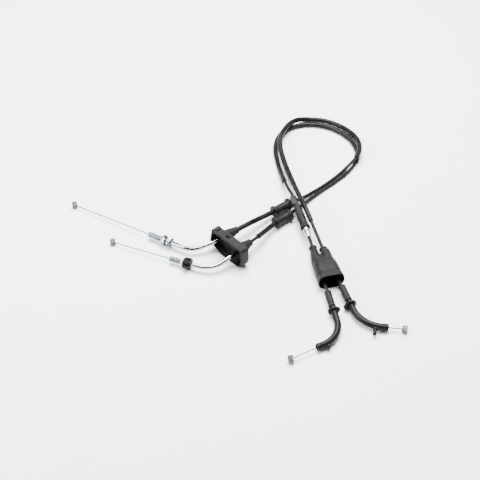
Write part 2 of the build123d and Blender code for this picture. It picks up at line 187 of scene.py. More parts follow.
# %% A field: a number or colour that changes over a surface
class Field:
    """One output of a material's net. Sums and products of fields add Math nodes."""

    def __init__(self, tree, socket=None):
        self.tree = tree
        self.socket = socket

    def node(self, kind, settings=None, sockets=None, output=0):
        """Add a node, with its settings first, then a number or a link on each socket."""
        node = self.tree.nodes.new(kind)
        for name, value in (settings or {}).items():
            if name == "stops":
                set_stops(node.color_ramp, value)
            else:
                setattr(node, name, value)
        for name, value in (sockets or {}).items():
            if isinstance(value, Field):
                self.tree.links.new(value.socket, node.inputs[name])
            else:
                node.inputs[name].default_value = value
        return Field(self.tree, node.outputs[output])

    def maths(self, operation, first, second):
        return self.node("ShaderNodeMath", {"operation": operation}, {0: first, 1: second})

    def __add__(self, other):
        return self.maths("ADD", self, other)

    def __radd__(self, other):
        return self.maths("ADD", other, self)

    def __sub__(self, other):
        return self.maths("SUBTRACT", self, other)

    def __rsub__(self, other):
        return self.maths("SUBTRACT", other, self)

    def __mul__(self, other):
        return self.maths("MULTIPLY", self, other)

    def __rmul__(self, other):
        return self.maths("MULTIPLY", other, self)


def set_stops(ramp, stops):
    """Give a colour ramp its (position, grey) stops."""
    while len(ramp.elements) > 2:
        ramp.elements.remove(ramp.elements[-1])
    while len(ramp.elements) < len(stops):
        ramp.elements.new(0.5)
    for element, (position, grey) in zip(ramp.elements, stops):
        element.position = position
        element.color = (grey, grey, grey, 1)


# %% Patterns that the finishes share
def start_finish(name, **shader_values):
    """A new material with its shader's fixed values set: (material, places, shader)."""
    material = bpy.data.materials.new(name)
    material.use_nodes = True
    tree = material.node_tree
    shader = tree.nodes["Principled BSDF"]
    for socket, value in shader_values.items():
        shader.inputs[socket.replace("_", " ")].default_value = value
    places = Field(tree).node("ShaderNodeTexCoord", output="Object")
    return material, places, shader


def noise(places, size, detail=2.0, stretch=None):
    """Soft noise, from 0 to 1, whose lumps are about size mm across."""
    if stretch:
        places = places.node("ShaderNodeMapping", {}, {"Vector": places, "Scale": stretch})
    scale = 1 / (size * MM)
    return places.node("ShaderNodeTexNoise", {}, {"Vector": places, "Scale": scale, "Detail": detail})


def grains(places, size, randomness=1.0):
    """Distance to the nearest grain of a fine moulded texture, grains size mm apart."""
    scale = 1 / (size * MM)
    sockets = {"Vector": places, "Scale": scale, "Randomness": randomness}
    return places.node("ShaderNodeTexVoronoi", {}, sockets)


def ramp(field, *stops):
    """Reshape a field by (position, grey) stops."""
    return field.node("ShaderNodeValToRGB", {"stops": stops}, {"Fac": field})


def between(field, low_colour, high_colour):
    """A colour that follows a field, from one colour to another."""
    sockets = {"Factor": field, 6: (*low_colour, 1), 7: (*high_colour, 1)}
    return field.node("ShaderNodeMix", {"data_type": "RGBA"}, sockets, output=2)


def finish_with(material, shader, colour, roughness, height, depth):
    """Link the changing colour, roughness and surface height, and return the material."""
    tree = material.node_tree
    tree.links.new(colour.socket, shader.inputs["Base Color"])
    tree.links.new(roughness.socket, shader.inputs["Roughness"])
    bump = height.node("ShaderNodeBump", {}, {"Height": height, "Distance": depth * MM, "Strength": 1.0})
    tree.links.new(bump.socket, shader.inputs["Normal"])
    print("finish:", material.name)
    return material

# %% [markdown]
# ## Black plastics and rubbers
#
# Nine blacks lie side by side here and only their surface tells them apart. The casing is an
# extruded sheath, so it is smooth with faint lines along it and a little dust. The sleeves over
# it are soft glossy tubing with shallow dents. The hood and boots are moulded rubber with a
# dull grain, and the elbows and ferrules are nylon with a fine spark texture from their mould.
# In each, a broad soft noise varies the colour and the gloss, and a fine one gives the grain.

# %% The black finishes
def black_finish(name, dark, dusty, gloss, grain, depth, dust_size=9.0, sheen=0.09):
    """Moulded or extruded black: a fine grain, and dust that dulls it in soft patches.

    gloss is the roughness of its (clean, dusty) parts, grain the size of its texture in mm."""
    material, places, shader = start_finish(name, Specular_IOR_Level=sheen)
    dust = ramp(noise(places, dust_size, 4.0), (0.35, 0.0), (0.75, 1.0))
    fine = grains(places, grain)
    colour = between(dust * (0.7 + fine * 0.6), dark, dusty)
    roughness = gloss[0] + dust * (gloss[1] - gloss[0]) + fine * 0.06
    height = fine * 0.6 + noise(places, grain * 5) * 0.8
    return finish_with(material, shader, colour, roughness, height, depth)


casing_pvc = black_finish("casing_pvc", (0.0045, 0.0043, 0.0043), (0.011, 0.0106, 0.0106),
                          (0.30, 0.42), grain=0.5, depth=0.03)
sleeve_pvc = black_finish("sleeve_pvc", (0.0048, 0.0046, 0.0046), (0.012, 0.0116, 0.0116),
                          (0.24, 0.40), grain=1.6, depth=0.10, dust_size=14)
hood_rubber = black_finish("hood_rubber", (0.0066, 0.0062, 0.0061), (0.017, 0.0162, 0.016),
                           (0.48, 0.66), grain=0.35, depth=0.06)
boot_rubber = black_finish("boot_rubber", (0.0068, 0.0065, 0.0065), (0.0165, 0.0159, 0.0159),
                           (0.42, 0.60), grain=0.35, depth=0.05)
spool_rubber = black_finish("spool_rubber", (0.0055, 0.0053, 0.0053), (0.013, 0.0126, 0.0126),
                            (0.38, 0.54), grain=0.3, depth=0.03)
elbow_plastic = black_finish("elbow_plastic", (0.0042, 0.004, 0.0041), (0.0092, 0.0089, 0.009),
                             (0.28, 0.40), grain=0.45, depth=0.03)
ferrule_plastic = black_finish("ferrule_plastic", (0.0068, 0.0066, 0.0066), (0.0155, 0.015, 0.015),
                               (0.40, 0.54), grain=0.4, depth=0.05)
moulded_nut = black_finish("moulded_nut", (0.004, 0.0038, 0.0038), (0.0085, 0.0082, 0.0082),
                           (0.40, 0.54), grain=0.6, depth=0.05)
cap_plastic = black_finish("cap_plastic", (0.015, 0.0146, 0.0146), (0.029, 0.0284, 0.0284),
                           (0.46, 0.60), grain=0.4, depth=0.04)


# %% [markdown]
# ## Metals and pale plastics
#
# A metal is told by what it reflects, so its roughness matters more than its colour. Over a
# white floor it reflects mostly white, so the colours here are darker than the real metals. Chrome is
# nearly a mirror with hairline scratches. Zinc plate is softer, and its passivation tints it
# blue in patches. The strands are drawn steel with grey oil between them, the nipples are cast
# zinc with a sandy skin, and the adjuster's ferrule is turned aluminium, whose tool has left
# fine rings round it: noise stretched along the ring gives them.

# %% The metal finishes
def plated_finish(name, clear, tinted, gloss, grain, depth, stretch=None, patch=4.0, **shader_values):
    """A metal with tinted patches and a fine grain that stretch may draw out into lines."""
    material, places, shader = start_finish(name, Metallic=1.0, **shader_values)
    patches = ramp(noise(places, patch, 3.0), (0.38, 0.0), (0.66, 1.0))
    fine = noise(places, grain, 3.0, stretch)
    colour = between(patches, clear, tinted)
    roughness = gloss[0] + patches * (gloss[1] - gloss[0]) + fine * 0.10
    return finish_with(material, shader, colour, roughness, fine, depth)


chrome_tube = plated_finish("chrome_tube", (0.44, 0.44, 0.44), (0.33, 0.33, 0.34),
                            (0.02, 0.08), grain=0.6, depth=0.004, patch=12.0)
zinc_thread = plated_finish("zinc_thread", (0.25, 0.285, 0.315), (0.13, 0.185, 0.235),
                            (0.16, 0.28), grain=0.5, depth=0.02)
zinc_nut = plated_finish("zinc_nut", (0.3, 0.31, 0.32), (0.18, 0.2, 0.22),
                         (0.12, 0.26), grain=0.4, depth=0.02)
steel_strand = plated_finish("steel_strand", (0.075, 0.073, 0.068), (0.034, 0.032, 0.03),
                             (0.22, 0.42), grain=0.25, depth=0.01, patch=2.5)
cast_zinc = plated_finish("cast_zinc", (0.14, 0.134, 0.126), (0.066, 0.062, 0.058),
                          (0.34, 0.52), grain=0.35, depth=0.10, patch=2.2)
aluminium_barrel = plated_finish("aluminium_barrel", (0.6, 0.6, 0.61), (0.46, 0.47, 0.49),
                                 (0.20, 0.30), grain=0.3, depth=0.02, stretch=(0.15, 1.0, 0.15))


def pale_finish(name, clean, worn):
    """Pale moulded plastic with a soft sheen and slightly darker handling marks."""
    material, places, shader = start_finish(name, Subsurface_Weight=0.05)
    marks = ramp(noise(places, 1.6, 3.0), (0.4, 0.0), (0.8, 1.0))
    fine = grains(places, 0.4)
    return finish_with(material, shader, between(marks, clean, worn), 0.42 + marks * 0.15, fine, 0.02)


pale_seal = pale_finish("pale_seal", (0.74, 0.74, 0.71), (0.52, 0.52, 0.50))
pale_finish("liner_plastic", (0.80, 0.80, 0.76), (0.68, 0.67, 0.62))


# %% The floor
def floor_finish():
    """Plain pale board with the faintest mottle."""
    material, places, shader = start_finish("pale_floor")
    mottle = noise(places, 60.0)
    colour = between(mottle, (0.90, 0.90, 0.90), (0.93, 0.93, 0.93))
    return finish_with(material, shader, colour, 0.75 + mottle * 0.1, mottle, 0.01)


floor.data.materials.append(floor_finish())
finishes = {material.name: material for material in bpy.data.materials}

# %% [markdown]
# ## A finish for every solid first
#
# Each node of the solid model gets the finish of its material slot. Most are covered or
# replaced further on by a piece with more detail, and what stays is already dressed.

# %% Dress the nodes of the solid model
for subpart in frame["record"]["subparts"]:
    node = frame["nodes"][subpart["node"]]
    node.data.materials.clear()
    node.data.materials.append(finishes[subpart["material_slot"]])
print("dressed", len(frame["nodes"]), "nodes")

# %% [markdown]
# ## The casings as smooth curves
#
# A casing is a fixed length of something springy. It leaves its guide tube straight, swings
# round one big loop and comes back to the grip end. A NURBS curve draws that with a handful of
# points: it passes near them, never through a corner, just as the casing does. The points are
# the ones that the solid model's tubes follow, in mm above the table.

# %% The routes of the three lengths of casing
CASING_R = 2.5
return_route = [
    (-0.6, -27.3, 17.5), (19, -13.8, 19.3), (37.5, 5, 13.5), (63, 27, 9), (84, 43.5, 8.5),
    (101.5, 57, 5.5), (118.5, 72.5, 2.6), (141, 92, 2.5), (162, 113.5, 2.5), (173, 126, 4.2),
    (182, 133.5, 8.8), (190.5, 143, 12.6), (196, 155, 13.2), (198, 170.5, 12.8),
    (196.5, 187, 10.5), (190.5, 205, 7), (179.5, 222, 4.2), (163.5, 235.5, 3.8),
    (144, 244, 3.8), (122.5, 246, 3.8), (104.5, 239.5, 9), (90.5, 223.5, 13.4), (81, 206, 13.4),
    (76, 191.5, 12.8), (74.5, 177, 11), (76.5, 160, 9), (80, 142, 8), (85, 118, 9),
    (90.5, 92.5, 12.5), (96, 64, 18), (101, 44, 20.5), (108.5, 21.5, 19.7),
    (115.5, -3, 16.5), (123, -30, 14.3), (129.5, -54.5, 13), (137.6, -81.8, 12.1),
    (147, -109.6, 10.9), (155.6, -135.8, 9.9),
]
pull_route = [
    (19.3, -54.6, 18.8), (33, -42.4, 20.5), (48.5, -19, 13.5), (64.5, 3.5, 9), (84.5, 19.5, 8.7),
    (99.5, 39, 6), (113.5, 56.5, 3), (135.5, 79, 2.5), (157.5, 99, 2.5), (173.5, 115.5, 2.5),
    (186.5, 134, 3), (193.5, 150, 3.8), (194.5, 165.5, 3.8), (192, 181, 3.8), (184.5, 198, 3.8),
    (172, 213, 3.8), (157, 224, 3.8), (140, 231, 3.8), (121, 233.5, 3.8), (103, 230, 3.8),
    (88, 221.5, 3.8), (76, 208, 3.8), (69.5, 191, 3.8), (67.5, 169.5, 3.8), (69.5, 147, 3.8),
    (73.5, 121, 6), (78.5, 93, 11), (84.5, 66, 17.5), (90.3, 48.5, 20.7), (93.9, 33.9, 19.7),
]
pull_grip_route = [
    (109.3, -27.5, 15.4), (114.3, -47.4, 14), (119.6, -77, 12.3), (127.3, -112, 10.9),
    (134.2, -146.2, 9.6),
]


# %% Draw each casing with a round bevel
def smooth_curve(name, route, radius):
    """A NURBS curve whose control points are the route's, as a tube of that radius."""
    data = bpy.data.curves.new(name, "CURVE")
    data.dimensions = "3D"
    data.resolution_u = 14
    data.bevel_depth = radius * MM
    data.bevel_resolution = 5
    data.use_fill_caps = radius > 0
    spline = data.splines.new("NURBS")
    spline.points.add(len(route) - 1)
    for point, place in zip(spline.points, route):
        point.co = (*(part * MM for part in place), 1)
    spline.order_u = 3
    spline.use_endpoint_u = True
    curve = bpy.data.objects.new(name, data)
    bpy.context.scene.collection.objects.link(curve)
    return curve


def line_of(route):
    """Close points along the smooth line of a route, in metres."""
    curve = smooth_curve("measuring line", route, 0)
    mesh = bpy.data.meshes.new_from_object(curve)
    points = [vertex.co.copy() for vertex in mesh.vertices]
    bpy.data.objects.remove(curve)
    bpy.data.meshes.remove(mesh)
    return points


def length_of(points):
    return sum((after - before).length for before, after in zip(points, points[1:])) / MM


routes = {"return": return_route, "pull": pull_route, "pull_grip": pull_grip_route}
lines = {name: line_of(route) for name, route in routes.items()}
casings = {}
for name, route in routes.items():
    casings[name] = smooth_curve(f"sheath_{name}", route, CASING_R)
    casings[name].data.materials.append(casing_pvc)
    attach(casings[name], "cable_set")
    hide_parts(f"casing_{name}")
    print(f"{name} casing: {length_of(lines[name]):.0f} mm long")

# %% [markdown]
# ## A few bench tools
#
# An operator acts on whatever is selected, so each tool first leaves one piece alone in the
# selection. Most fittings are turned: a lathe profile is drawn as one vertex that is extruded
# from corner to corner, and is then spun about Z. A modifier is added, set and applied in one
# go, and a finished piece is laid on its bench with the place kept in its mesh.

# %% Tools: select, modify, turn and lay
ROUND = 48               # facets round a fitting
MERGE = 1e-6


def alone(piece):
    """Leave one piece selected and active."""
    bpy.ops.object.select_all(action="DESELECT")
    piece.select_set(True)
    bpy.context.view_layer.objects.active = piece


def modify(piece, kind, **settings):
    """Add a modifier, set it and apply it."""
    alone(piece)
    bpy.ops.object.modifier_add(type=kind)
    modifier = piece.modifiers[-1]
    for name, value in settings.items():
        setattr(modifier, name, value)
    bpy.ops.object.modifier_apply(modifier=modifier.name)


def soften(piece, width, segments=2, angle=28):
    """Round every edge sharper than an angle, by a width in mm."""
    modify(piece, "BEVEL", width=width * MM, segments=segments, limit_method="ANGLE",
           angle_limit=radians(angle))


def smooth(piece, angle=38):
    alone(piece)
    bpy.ops.object.shade_smooth_by_angle(angle=radians(angle))


def lay(piece, place):
    """Lay a piece on a bench and put its place into its mesh."""
    piece.matrix_world = place @ piece.matrix_world
    alone(piece)
    bpy.ops.object.transform_apply(location=True, rotation=True, scale=True)


def draw_line(points):
    """Draw corners in mm as one vertex extruded from each to the next, left in edit mode."""
    corners = [Vector(point) * MM for point in points]
    bpy.ops.object.select_all(action="DESELECT")
    bpy.ops.mesh.primitive_plane_add(size=MM)
    bpy.ops.object.mode_set(mode="EDIT")
    bpy.ops.mesh.merge(type="CENTER")
    bpy.ops.transform.translate(value=corners[0])
    for here, there in zip(corners, corners[1:]):
        bpy.ops.mesh.extrude_vertices_move(TRANSFORM_OT_translate={"value": there - here})
    bpy.ops.mesh.select_all(action="SELECT")
    bpy.ops.mesh.remove_doubles(threshold=MERGE)
    return bpy.context.object


def close_up():
    """Merge doubled vertices and turn every face outwards, then leave edit mode."""
    bpy.ops.mesh.select_all(action="SELECT")
    bpy.ops.mesh.remove_doubles(threshold=MERGE)
    bpy.ops.mesh.normals_make_consistent(inside=False)
    bpy.ops.object.mode_set(mode="OBJECT")


def pick(piece, kind, test):
    """Select only the vertices (VERT) or faces (FACE) that pass a test, in edit mode."""
    alone(piece)
    bpy.ops.object.mode_set(mode="EDIT")
    bpy.ops.mesh.select_mode(type=kind)
    bpy.ops.mesh.select_all(action="DESELECT")
    bpy.ops.object.mode_set(mode="OBJECT")
    for part in piece.data.vertices if kind == "VERT" else piece.data.polygons:
        part.select = test(part)
    bpy.ops.object.mode_set(mode="EDIT")


def turned(outline, edge=0.2, facets=ROUND):
    """Spin an outline of (radius, height) corners about Z and round its edges."""
    points = [(radius, 0, height) for radius, height in outline]
    if outline[0][0] > 0 or outline[-1][0] > 0:
        points.append(points[0])
    piece = draw_line(points)
    bpy.ops.mesh.spin(steps=facets, angle=2 * pi, center=(0, 0, 0), axis=(0, 0, 1))
    close_up()
    if edge:
        soften(piece, edge)
    smooth(piece)
    return piece


def block(size, place, edge=0.3):
    """A rounded block of a size at a place in mm."""
    bpy.ops.object.select_all(action="DESELECT")
    bpy.ops.mesh.primitive_cube_add(size=1, location=[part * MM for part in place],
                                    scale=[part * MM for part in size])
    piece = bpy.context.object
    bpy.ops.object.transform_apply(location=True, rotation=True, scale=True)
    soften(piece, edge)
    smooth(piece)
    return piece


def joined(first, *others):
    """Join pieces into the first one."""
    alone(first)
    for other in others:
        other.select_set(True)
    bpy.ops.object.join()
    return first


def cut(piece, tool, operation="DIFFERENCE"):
    """Cut a piece with another closed shape, or keep what they share, and bin the tool."""
    modify(piece, "BOOLEAN", operation=operation, solver="EXACT", object=tool)
    bpy.data.objects.remove(tool)


def fit(piece, name, body, finish, *nodes):
    """Name a finished piece, dress it and hang it on its body in place of its nodes."""
    piece.name = name
    piece.data.name = name
    piece.data.materials.clear()
    piece.data.materials.append(finish)
    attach(piece, body)
    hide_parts(*nodes)
    print(f"{name}: {len(piece.data.polygons)} faces on {body}")
    return piece

# %% [markdown]
# ## Tubes that follow a cable
#
# Sleeves, spools and boots sit round a casing, so they follow points read from its smooth
# line. A plain bevelled curve makes the skin, and its radius may change from point to point.
# Turned into a mesh, it gets a wall with Solidify, and its rims are rounded.

# %% Tools: measure along a line and wrap a tube round it
def stretch_of(line, start, end, step=1.5):
    """Evenly spaced points of a line between two distances along it, in mm."""
    count = max(2, round((end - start) / step) + 1)
    wanted = [start + (end - start) * index / (count - 1) for index in range(count)]
    points, travelled, place = [], 0.0, 0
    for distance in wanted:
        while place < len(line) - 2:
            run = (line[place + 1] - line[place]).length / MM
            if travelled + run >= distance:
                break
            travelled += run
            place += 1
        run = (line[place + 1] - line[place]).length / MM
        points.append(line[place].lerp(line[place + 1], (distance - travelled) / run))
    return points


def nearest(line, point):
    """How far along a line, in mm, its closest point to a place in mm is."""
    target = Vector(point) * MM
    closest = min(range(len(line)), key=lambda index: (line[index] - target).length)
    return length_of(line[:closest + 1])


def tube_along(points, radii, wall=0.0, edge=0.25, sides=6):
    """A tube through points in metres, with one radius in mm or one for each point."""
    if not isinstance(radii, (list, tuple)):
        radii = [radii] * len(points)
    data = bpy.data.curves.new("tube", "CURVE")
    data.dimensions = "3D"
    data.bevel_depth = MM
    data.bevel_resolution = sides
    data.use_fill_caps = not wall
    spline = data.splines.new("POLY")
    spline.points.add(len(points) - 1)
    for point, place, radius in zip(spline.points, points, radii):
        point.co = (*place, 1)
        point.radius = radius
    piece = bpy.data.objects.new("tube", data)
    bpy.context.scene.collection.objects.link(piece)
    alone(piece)
    bpy.ops.object.convert(target="MESH")
    piece = bpy.context.object
    bpy.ops.object.mode_set(mode="EDIT")
    close_up()
    if wall:
        modify(piece, "SOLIDIFY", thickness=wall * MM, offset=-1)
    if edge:
        soften(piece, edge, angle=50)
    smooth(piece)
    return piece


print("bench tools ready")

# %% [markdown]
# ## Barrel nipples
#
# Each wire ends in a barrel of zinc cast round its splayed strands. It lies across the wire in
# a pocket of the throttle's pulley. The barrel is turned, with a shallow waist where the mould
# parted, and drilled for the wire, and the dimple on top is where the metal was poured.

# %% Four nipples, cast alike
NIPPLE_R = 3.85
NIPPLE_HALF = 4.45
nipple_lean = {
    "engine_return": (0, 0, 1), "engine_pull": (0, 0, 1),
    "grip_return": (-0.15, 0, 1), "grip_pull": (-0.17, 0.33, 1),
}


def nipple():
    """A barrel about Z with the wire's hole along X."""
    half = NIPPLE_HALF
    barrel = turned([(0, -half), (NIPPLE_R, -half), (NIPPLE_R, -0.7), (NIPPLE_R - 0.4, -0.4),
                     (NIPPLE_R - 0.4, 0.4), (NIPPLE_R, 0.7), (NIPPLE_R, half), (2.1, half),
                     (1.7, half - 0.7), (0, half - 0.7)], edge=0.35)
    mouth = turned([(0, 1.6), (1.0, 1.6), (1.0, 2.6), (1.5, 4.5), (0, 4.5)], edge=0, facets=24)
    mouth.matrix_world = Matrix.Rotation(radians(90), 4, "Y")
    cut(barrel, mouth)
    for side in (-1, 1):
        slot = block((1.1, 1.5, 2.4), (-3.9, side * 1.2, 2.6), edge=0.2)
        cut(barrel, slot)
    smooth(barrel)
    return barrel


for end, lean in nipple_lean.items():
    place, cable = end.split("_")
    wire_bench = (engine_bench if place == "engine" else grip_bench)[cable]
    along = wire_bench.col[2].to_3d()
    upright = (Vector(lean) - along * Vector(lean).dot(along)).normalized()
    across = Matrix((along, upright.cross(along), upright)).transposed().to_4x4()
    barrel = nipple()
    lay(barrel, Matrix.Translation(wire_bench.translation) @ across)
    fit(barrel, f"barrel_{end}", f"{place}_wire_{cable}", cast_zinc, f"nipple_{end}")

# %% [markdown]
# ## Stranded wire
#
# Seven strands make the wire: six laid in a helix round a straight one. Each outer strand is a
# small circle beside the axis, and the Screw modifier carries it up and round at once. The
# wires slide, so each keeps the length that hides inside its tube when it is at rest.

# %% Bare wire at the four ends
STRAND_R = 0.25
WIRE_R = 0.75
LAY_LENGTH = 7.0         # how far a strand climbs in one turn
wire_top = {"engine_return": 155, "engine_pull": 102, "grip_return": 31, "grip_pull": 60}


def stranded(length):
    """Seven strands along Z, from the origin up."""
    bpy.ops.object.select_all(action="DESELECT")
    bpy.ops.mesh.primitive_circle_add(vertices=7, radius=STRAND_R * MM,
                                      location=((WIRE_R - STRAND_R) * MM, 0, 0))
    strand = bpy.context.object
    bpy.ops.object.transform_apply(location=True)
    turns = length / LAY_LENGTH
    modify(strand, "SCREW", angle=2 * pi * turns, screw_offset=length * MM,
           steps=int(16 * turns), render_steps=int(16 * turns), use_merge_vertices=False)
    strands = [strand]
    for index in range(1, 6):
        twin = strand.copy()
        twin.data = strand.data.copy()
        bpy.context.scene.collection.objects.link(twin)
        lay(twin, Matrix.Rotation(index * pi / 3, 4, "Z"))
        strands.append(twin)
    bpy.ops.object.select_all(action="DESELECT")
    bpy.ops.mesh.primitive_cylinder_add(vertices=8, radius=(STRAND_R + 0.02) * MM,
                                        depth=length * MM, location=(0, 0, length * MM / 2))
    core = bpy.context.object
    bpy.ops.object.transform_apply(location=True)
    wire = joined(core, *strands)
    bpy.ops.object.mode_set(mode="EDIT")
    bpy.ops.mesh.select_all(action="SELECT")
    bpy.ops.mesh.normals_make_consistent(inside=False)
    bpy.ops.object.mode_set(mode="OBJECT")
    smooth(wire, 60)
    return wire


for end, top in wire_top.items():
    place, cable = end.split("_")
    wire_bench = (engine_bench if place == "engine" else grip_bench)[cable]
    wire = stranded(top + 2.5)
    lay(wire, slid(wire_bench, -2.5))
    fit(wire, f"strands_{end}", f"{place}_wire_{cable}", steel_strand, f"wire_{end}")

# %% [markdown]
# ## Threaded ends
#
# The guide tube ends in a threaded sleeve with a fine zinc-plated thread. One pitch of the
# thread's profile is drawn as a line and wound up with the Screw modifier; each turn meets the
# next, so the skin is closed but for its ends. Bisecting with a fill closes those, and what the
# rod shares with a chamfered blank has the lead-in that a die leaves.

# %% Cut the threads
PITCH = 1.25
THREAD_R = 4.0
THREAD_DEPTH = 0.62
thread_span = {"return": (130.0, 169.0), "pull": (90.0, 108.0)}


def threaded_rod(length, radius, pitch, depth):
    """A solid threaded rod from the origin up, chamfered at both ends."""
    root = radius - depth
    rise = pitch / 8
    rod = draw_line([(root, 0, 0), (root, 0, rise), (radius, 0, (pitch - rise) / 2),
                     (radius, 0, (pitch + rise) / 2), (root, 0, pitch - rise), (root, 0, pitch)])
    bpy.ops.object.mode_set(mode="OBJECT")
    turns = int(length / pitch) + 3
    modify(rod, "SCREW", angle=2 * pi, screw_offset=pitch * MM, iterations=turns, steps=36,
           render_steps=36, use_merge_vertices=True, merge_threshold=MERGE)
    first = 1.3 * pitch
    alone(rod)
    bpy.ops.object.mode_set(mode="EDIT")
    for height, outer in ((first, False), (first + length, True)):
        bpy.ops.mesh.select_all(action="SELECT")
        bpy.ops.mesh.bisect(plane_co=(0, 0, height * MM), plane_no=(0, 0, 1), use_fill=True,
                            clear_inner=not outer, clear_outer=outer)
    close_up()
    rod.location = (0, 0, -first * MM)
    bpy.ops.object.transform_apply(location=True)
    blank = turned([(0, 0.01), (root - 0.1, 0.01), (radius + 0.02, 0.8),
                    (radius + 0.02, length - 0.7), (root + 0.1, length - 0.01),
                    (0, length - 0.01)], edge=0, facets=96)
    cut(rod, blank, "INTERSECT")
    return rod


for cable, (low, high) in thread_span.items():
    rod = threaded_rod(high - low, THREAD_R, PITCH, THREAD_DEPTH)
    bore = turned([(0, -1), (2.2, -1), (2.2, 0.3), (1.6, 0.9), (1.6, 6), (0, 6)], edge=0)
    cut(rod, bore)
    smooth(rod, 30)
    lay(rod, slid(engine_bench[cable], low))
    fit(rod, f"thread_{cable}", "cable_set", zinc_thread, f"threaded_end_{cable}")

# %% [markdown]
# ## Lock nuts
#
# Two thin hexagon nuts pinch the engine's bracket between them. A six-sided cylinder is the
# blank, and what it shares with a turned double cone has the arcs that a lathe leaves on each
# flat. A countersunk hole goes through it.

# %% Two lock nuts on the return cable and one inside the adjuster
def lock_nut(flats, height, bore_r):
    """A chamfered hexagon nut from the origin up."""
    corner = flats / 2 / cos(radians(30))
    bpy.ops.object.select_all(action="DESELECT")
    bpy.ops.mesh.primitive_cylinder_add(vertices=6, radius=corner * MM, depth=height * MM,
                                        location=(0, 0, height / 2 * MM))
    nut = bpy.context.object
    bpy.ops.object.transform_apply(location=True)
    dome = turned([(0, 0), (flats / 2 - 0.1, 0), (corner + 0.01, 0.75),
                   (corner + 0.01, height - 0.75), (flats / 2 - 0.1, height), (0, height)],
                  edge=0, facets=96)
    cut(nut, dome, "INTERSECT")
    hole = turned([(0, -1), (bore_r + 1.4, -1), (bore_r, 0.5), (bore_r, height - 0.5),
                   (bore_r + 1.4, height + 1), (0, height + 1)], edge=0)
    cut(nut, hole)
    soften(nut, 0.12, angle=20)
    smooth(nut, 25)
    return nut


NUT_FLATS = 13.0
NUT_HEIGHT = 5.0
for side, at, turn in (("outer", 153.5, 11), ("inner", 162.5, 38)):
    nut = lock_nut(NUT_FLATS, NUT_HEIGHT, THREAD_R + 0.05)
    lay(nut, turned_about(slid(engine_bench["return"], at), turn))
    fit(nut, f"hex_nut_{side}", f"lock_nut_{side}", zinc_nut, f"lock_nut_{side}")

# %% [markdown]
# ## Washer and retainer nut
#
# The pull cable is held by a black moulded nut with a domed face and a crown of six teeth, and
# a pale washer seals it. Each tooth is a rounded block, tapered by scaling its outer face.

# %% The pale washer and the black crown nut
TUBE_R = 3.25
washer = turned([(TUBE_R + 0.02, 0), (4.3, 0), (4.6, 0.4), (4.6, 1.1), (4.2, 1.4), (4.6, 1.7),
                 (4.6, 3.0), (TUBE_R + 0.02, 3.0)], edge=0.12)
lay(washer, slid(engine_bench["pull"], 108.0))
fit(washer, "seal_ring", "cable_set", pale_seal, "seal_washer")


def tooth(turn):
    """One tooth of the crown, standing at a turn about Z and narrowed at its tip."""
    piece = block((2.7, 4.3, 6.6), (7.0, 0, 7.9), edge=0.001)
    pick(piece, "FACE", lambda face: face.normal.z > 0.9)
    bpy.ops.transform.resize(value=(0.9, 0.62, 1), center_override=(7.0 * MM, 0, 0))
    bpy.ops.mesh.select_mode(type="VERT")
    bpy.ops.object.mode_set(mode="OBJECT")
    soften(piece, 0.45, 3)
    lay(piece, Matrix.Rotation(radians(turn), 4, "Z"))
    return piece


crown = turned([(TUBE_R + 0.2, 0), (5.4, 0), (7.4, 0.9), (8.25, 2.4), (8.25, 5.0), (7.6, 5.9),
                (6.5, 6.2), (6.1, 11.3), (TUBE_R + 0.2, 11.3)], edge=0.35)
crown = joined(crown, *[tooth(turn) for turn in range(0, 360, 60)])
lay(crown, slid(engine_bench["pull"], 111.0))
fit(crown, "crown_nut", "retainer_nut", moulded_nut, "retainer_nut")

# %% [markdown]
# ## Chromed guide tubes
#
# A guide tube is steel bent on a former, so unlike a casing it is straight runs and true arcs.
# Each bend is one arc that touches both of its runs: it starts and ends at the radius times the
# tangent of half the turn from the corner. The tube follows those points to the crimp that the
# hood's sleeve hides.

# %% Bend the two guide tubes
def bent(corners, radii, step=1.2):
    """Points in metres along straight runs joined by arcs, one radius in mm per inner corner."""
    corners = [Vector(corner) * MM for corner in corners]
    points = [corners[0]]
    for before, corner, after, radius in zip(corners, corners[1:], corners[2:], radii):
        arriving = (corner - before).normalized()
        leaving = (after - corner).normalized()
        turn = arriving.angle(leaving)
        reach = radius * MM * tan(turn / 2)
        centre = corner + (leaving - arriving).normalized() * radius * MM / cos(turn / 2)
        axis = arriving.cross(leaving)
        start = corner - arriving * reach
        count = max(3, int(radius * turn / step))
        for index in range(count + 1):
            swing = Matrix.Rotation(turn * index / count, 3, axis)
            points.append(centre + swing @ (start - centre))
    points.append(corners[-1])
    return points


tube_corners = {
    "return": [(-55, -54, 9.4), (-22, -42, 15.5), (-0.6, -27.3, 17.5)],
    "pull": [(-41, -85.9, 9.3), (-21, -88, 11.5), (-3, -74.5, 16), (19.3, -54.6, 18.8)],
}
tube_radii = {"return": [32, 60], "pull": [40, 28, 80]}
tube_lines = {}
for cable, corners in tube_corners.items():
    start = slid(engine_bench[cable], thread_span[cable][0] + 2).translation / MM
    tube_lines[cable] = bent([start, *corners], tube_radii[cable])
    tube = tube_along(tube_lines[cable], TUBE_R, wall=1.0, sides=12)
    fit(tube, f"chromed_tube_{cable}", "cable_set", chrome_tube, f"guide_tube_{cable}")

# %% [markdown]
# ## The hood over the throttle body
#
# A rubber hood keeps dirt off the pulley. It is a D-shaped cup with a straight strap along its
# top, and two ribbed bells that hug the guide tubes. Rubber has no sharp corners, and where the
# bells meet the cup they flow into it. So the cup and bells are made apart and overlapping. The
# hollow, the slot, the notch and the bores are cut, and then the whole is remeshed into one skin
# and relaxed, which gives every corner its soft fillet.

